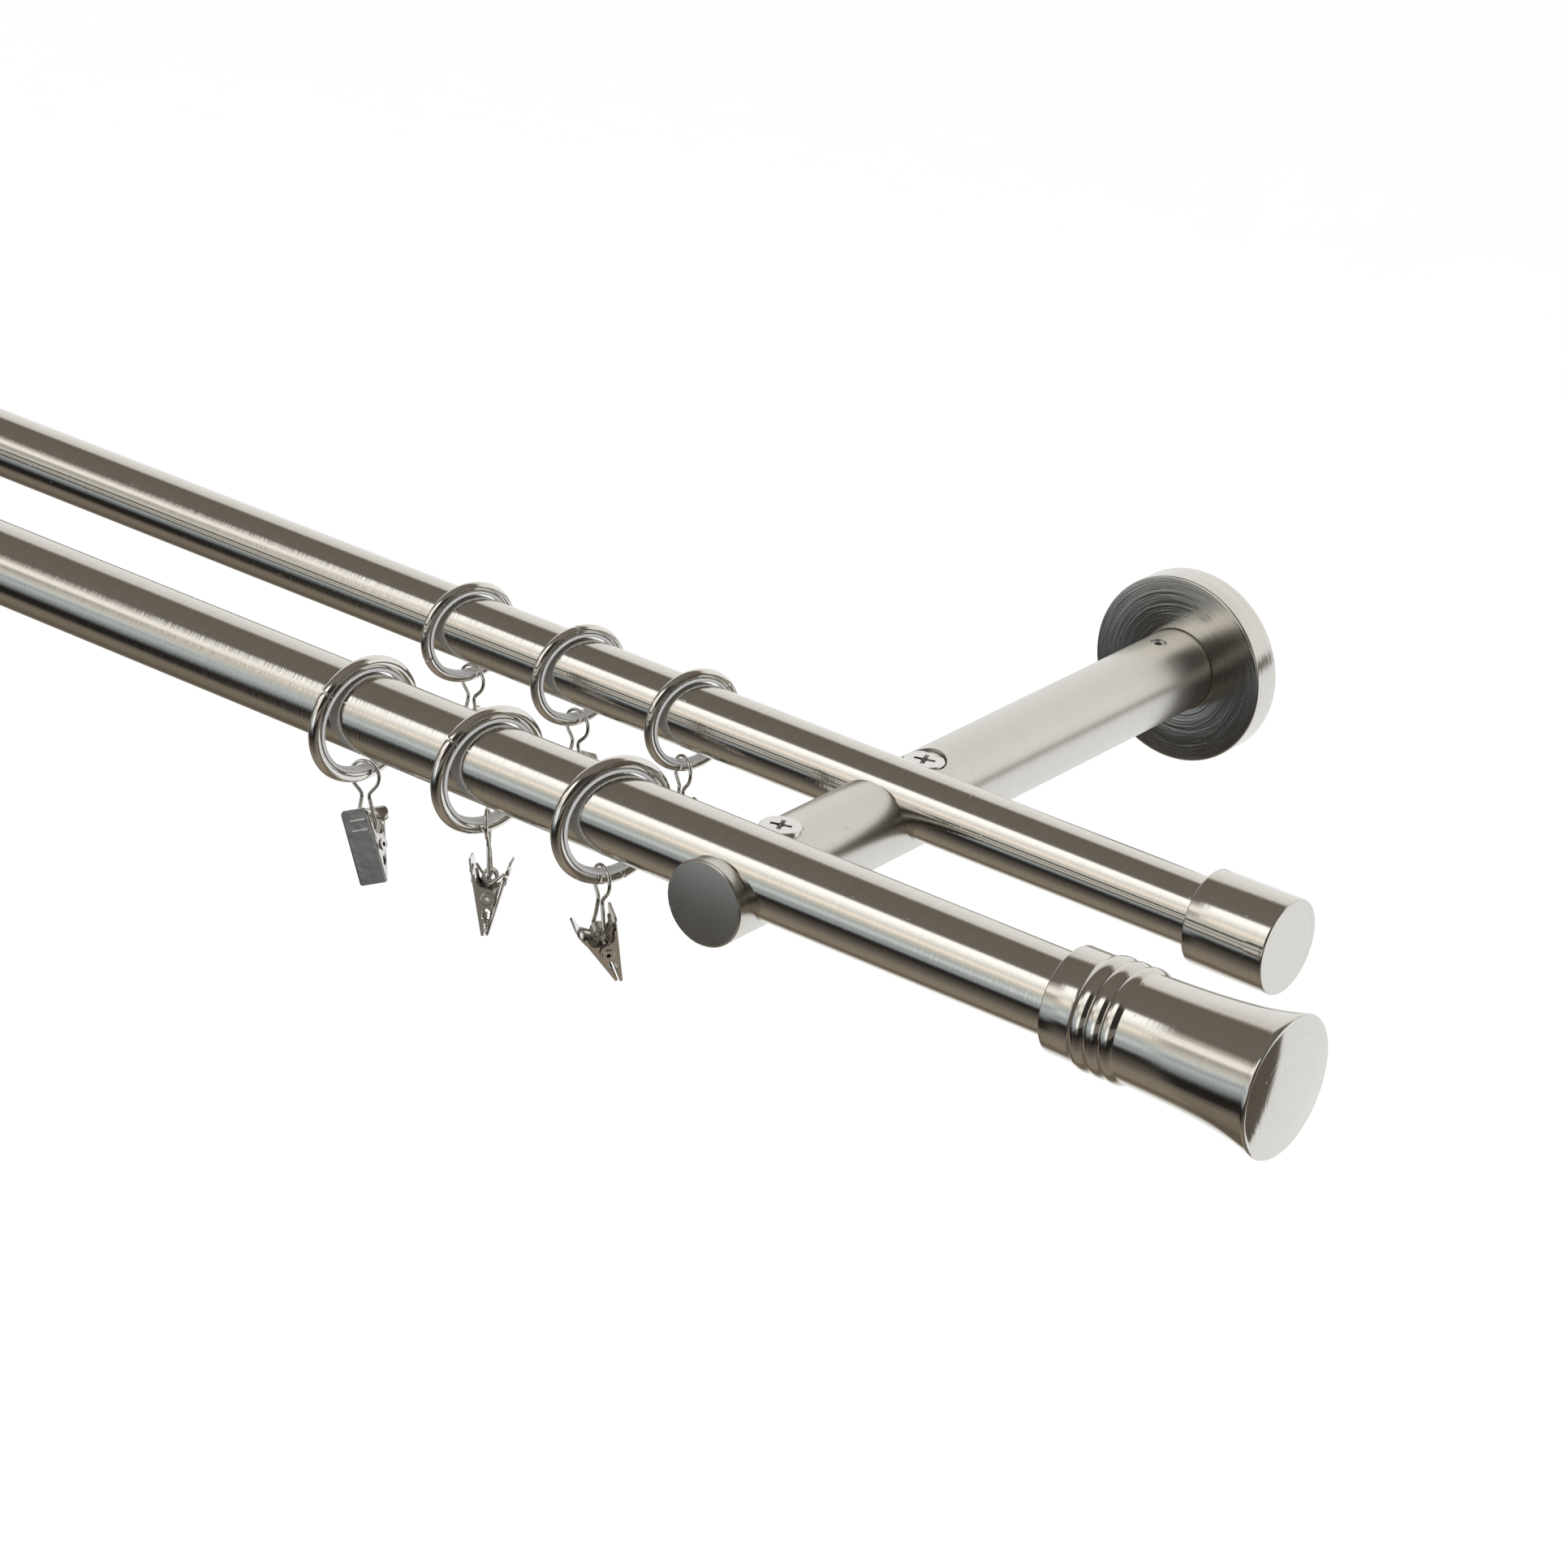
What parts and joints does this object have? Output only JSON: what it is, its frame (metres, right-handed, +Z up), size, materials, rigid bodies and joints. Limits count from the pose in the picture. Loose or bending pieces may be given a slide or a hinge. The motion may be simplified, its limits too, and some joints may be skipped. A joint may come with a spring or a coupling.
{
  "type": "double curtain pole",
  "caption": "Double curtain pole with round front and rear poles, saddle brackets with round wall covers, a flared finial, sleeve end caps and lined rings that carry sprung clips.",
  "frame": {"origin": "wall mount of the right bracket: where the axis of its arm meets the wall", "axes": "+X along the poles to the right end, +Y into the wall, +Z up"},
  "size_m": [1.282, 0.197, 0.0599],
  "materials": {
    "satin_nickel": "satin brushed nickel",
    "polished_nickel": "polished nickel",
    "screw_nickel": "bright nickel",
    "spring_wire": "bright wire",
    "zinc_steel": "zinc plated",
    "clear_liner": "clear"
  },
  "bodies": {
    "pole_set": {"front_pole": "satin_nickel", "rear_pole": "satin_nickel", "bracket_arm_right": "satin_nickel", "clamp_screws_right": "screw_nickel", "grub_screw_right": "zinc_steel", "wall_plate_right": "zinc_steel", "wall_cover_right": "satin_nickel", "front_finial_right": "satin_nickel", "rear_end_cap_right": "satin_nickel", "bracket_arm_left": "satin_nickel", "clamp_screws_left": "screw_nickel", "grub_screw_left": "zinc_steel", "wall_plate_left": "zinc_steel", "wall_cover_left": "satin_nickel", "front_finial_left": "satin_nickel", "rear_end_cap_left": "satin_nickel"},
    "ring_front_1": {"ring_front_1": "polished_nickel", "ring_liner_front_1": "clear_liner"},
    "loop_front_1": {"clip_loop_front_1": "polished_nickel"},
    "clip_front_1": {"clip_outer_jaw_front_1": "polished_nickel", "clip_rivet_front_1": "polished_nickel", "clip_spring_front_1": "spring_wire"},
    "jaw_front_1": {"clip_inner_jaw_front_1": "polished_nickel"},
    "ring_front_2": {"ring_front_2": "polished_nickel", "ring_liner_front_2": "clear_liner"},
    "loop_front_2": {"clip_loop_front_2": "polished_nickel"},
    "clip_front_2": {"clip_outer_jaw_front_2": "polished_nickel", "clip_rivet_front_2": "polished_nickel", "clip_spring_front_2": "spring_wire"},
    "jaw_front_2": {"clip_inner_jaw_front_2": "polished_nickel"},
    "ring_front_3": {"ring_front_3": "polished_nickel", "ring_liner_front_3": "clear_liner"},
    "loop_front_3": {"clip_loop_front_3": "polished_nickel"},
    "clip_front_3": {"clip_outer_jaw_front_3": "polished_nickel", "clip_rivet_front_3": "polished_nickel", "clip_spring_front_3": "spring_wire"},
    "jaw_front_3": {"clip_inner_jaw_front_3": "polished_nickel"},
    "ring_rear_1": {"ring_rear_1": "polished_nickel", "ring_liner_rear_1": "clear_liner"},
    "loop_rear_1": {"clip_loop_rear_1": "polished_nickel"},
    "clip_rear_1": {"clip_outer_jaw_rear_1": "polished_nickel", "clip_rivet_rear_1": "polished_nickel", "clip_spring_rear_1": "spring_wire"},
    "jaw_rear_1": {"clip_inner_jaw_rear_1": "polished_nickel"},
    "ring_rear_2": {"ring_rear_2": "polished_nickel", "ring_liner_rear_2": "clear_liner"},
    "loop_rear_2": {"clip_loop_rear_2": "polished_nickel"},
    "clip_rear_2": {"clip_outer_jaw_rear_2": "polished_nickel", "clip_rivet_rear_2": "polished_nickel", "clip_spring_rear_2": "spring_wire"},
    "jaw_rear_2": {"clip_inner_jaw_rear_2": "polished_nickel"},
    "ring_rear_3": {"ring_rear_3": "polished_nickel", "ring_liner_rear_3": "clear_liner"},
    "loop_rear_3": {"clip_loop_rear_3": "polished_nickel"},
    "clip_rear_3": {"clip_outer_jaw_rear_3": "polished_nickel", "clip_rivet_rear_3": "polished_nickel", "clip_spring_rear_3": "spring_wire"},
    "jaw_rear_3": {"clip_inner_jaw_rear_3": "polished_nickel"}
  },
  "joints": [
    {"name": "ring_slide_front_1", "type": "slide", "parent": "pole_set", "child": "ring_front_1", "axis": [1, 0, 0], "range_m": [-0.874, 0.008]},
    {"name": "loop_swing_front_1", "type": "hinge", "parent": "ring_front_1", "child": "loop_front_1", "pos_m": [-0.10823, -0.17959, -0.01088], "axis": [0.1874, 0.9823, 0], "range_deg": [-30, 30]},
    {"name": "clip_swing_front_1", "type": "hinge", "parent": "loop_front_1", "child": "clip_front_1", "pos_m": [-0.10675, -0.17988, -0.02386], "axis": [-0.8869, -0.2376, -0.3961], "range_deg": [-30, 26]},
    {"name": "jaw_open_front_1", "type": "hinge", "parent": "clip_front_1", "child": "jaw_front_1", "pos_m": [-0.1047, -0.18082, -0.02787], "axis": [0.8869, 0.2376, 0.3961], "range_deg": [0, 15], "stiffness_Nm_per_rad": 0.01, "springref_deg": -17.19},
    {"name": "ring_slide_front_2", "type": "slide", "parent": "pole_set", "child": "ring_front_2", "axis": [1, 0, 0], "range_m": [-0.008, 0.008]},
    {"name": "loop_swing_front_2", "type": "hinge", "parent": "ring_front_2", "child": "loop_front_2", "pos_m": [-0.07134, -0.17999, -0.01089], "axis": [0.247, 0.969, 0], "range_deg": [-30, 30]},
    {"name": "clip_swing_front_2", "type": "hinge", "parent": "loop_front_2", "child": "clip_front_2", "pos_m": [-0.06926, -0.18052, -0.02268], "axis": [-0.5208, 0.8309, -0.196], "range_deg": [-22, 35]},
    {"name": "jaw_open_front_2", "type": "hinge", "parent": "clip_front_2", "child": "jaw_front_2", "pos_m": [-0.06872, -0.18125, -0.02719], "axis": [0.5208, -0.8309, 0.196], "range_deg": [0, 15], "stiffness_Nm_per_rad": 0.01, "springref_deg": -17.19},
    {"name": "ring_slide_front_3", "type": "slide", "parent": "pole_set", "child": "ring_front_3", "axis": [1, 0, 0], "range_m": [-0.008, 0.017]},
    {"name": "loop_swing_front_3", "type": "hinge", "parent": "ring_front_3", "child": "loop_front_3", "pos_m": [-0.03647, -0.18225, -0.01075], "axis": [0.3535, 0.9354, 0], "range_deg": [-30, 30]},
    {"name": "clip_swing_front_3", "type": "hinge", "parent": "loop_front_3", "child": "clip_front_3", "pos_m": [-0.03627, -0.18232, -0.02382], "axis": [0.7938, -0.5842, -0.1691], "range_deg": [-30, 15]},
    {"name": "jaw_open_front_3", "type": "hinge", "parent": "clip_front_3", "child": "jaw_front_3", "pos_m": [-0.03572, -0.18038, -0.02795], "axis": [-0.7938, 0.5842, 0.1691], "range_deg": [0, 15], "stiffness_Nm_per_rad": 0.01, "springref_deg": -17.19},
    {"name": "ring_slide_rear_1", "type": "slide", "parent": "pole_set", "child": "ring_rear_1", "axis": [1, 0, 0], "range_m": [-0.858, 0.008]},
    {"name": "loop_swing_rear_1", "type": "hinge", "parent": "ring_rear_1", "child": "loop_rear_1", "pos_m": [-0.1232, -0.12407, -0.00796], "axis": [0.342, 0.9397, 0], "range_deg": [-30, 30]},
    {"name": "clip_swing_rear_1", "type": "hinge", "parent": "loop_rear_1", "child": "clip_rear_1", "pos_m": [-0.1232, -0.12407, -0.02143], "axis": [-0.9962, 0.0697, -0.0523], "range_deg": [-28, 29]},
    {"name": "jaw_open_rear_1", "type": "hinge", "parent": "clip_rear_1", "child": "jaw_rear_1", "pos_m": [-0.12303, -0.12504, -0.02593], "axis": [0.9962, -0.0697, 0.0523], "range_deg": [0, 15], "stiffness_Nm_per_rad": 0.01, "springref_deg": -17.19},
    {"name": "ring_slide_rear_2", "type": "slide", "parent": "pole_set", "child": "ring_rear_2", "axis": [1, 0, 0], "range_m": [-0.008, 0.008]},
    {"name": "loop_swing_rear_2", "type": "hinge", "parent": "ring_rear_2", "child": "loop_rear_2", "pos_m": [-0.09013, -0.12526, -0.00811], "axis": [0.342, 0.9397, 0], "range_deg": [-30, 30]},
    {"name": "clip_swing_rear_2", "type": "hinge", "parent": "loop_rear_2", "child": "clip_rear_2", "pos_m": [-0.09054, -0.12511, -0.02158], "axis": [-0.9783, 0.1113, -0.1746], "range_deg": [-26, 31]},
    {"name": "jaw_open_rear_2", "type": "hinge", "parent": "clip_rear_2", "child": "jaw_rear_2", "pos_m": [-0.08984, -0.12596, -0.02605], "axis": [0.9783, -0.1113, 0.1746], "range_deg": [0, 15], "stiffness_Nm_per_rad": 0.01, "springref_deg": -17.19},
    {"name": "ring_slide_rear_3", "type": "slide", "parent": "pole_set", "child": "ring_rear_3", "axis": [1, 0, 0], "range_m": [-0.008, 0.039]},
    {"name": "loop_swing_rear_3", "type": "hinge", "parent": "ring_rear_3", "child": "loop_rear_3", "pos_m": [-0.05704, -0.12722, -0.00807], "axis": [0.342, 0.9397, 0], "range_deg": [-30, 30]},
    {"name": "clip_swing_rear_3", "type": "hinge", "parent": "loop_rear_3", "child": "clip_rear_3", "pos_m": [-0.05704, -0.12722, -0.02155], "axis": [-0.9155, 0.3886, 0.1045], "range_deg": [-24, 33]},
    {"name": "jaw_open_rear_3", "type": "hinge", "parent": "clip_rear_3", "child": "jaw_rear_3", "pos_m": [-0.05773, -0.12762, -0.02608], "axis": [0.9155, -0.3886, -0.1045], "range_deg": [0, 15], "stiffness_Nm_per_rad": 0.01, "springref_deg": -17.19}
  ]
}
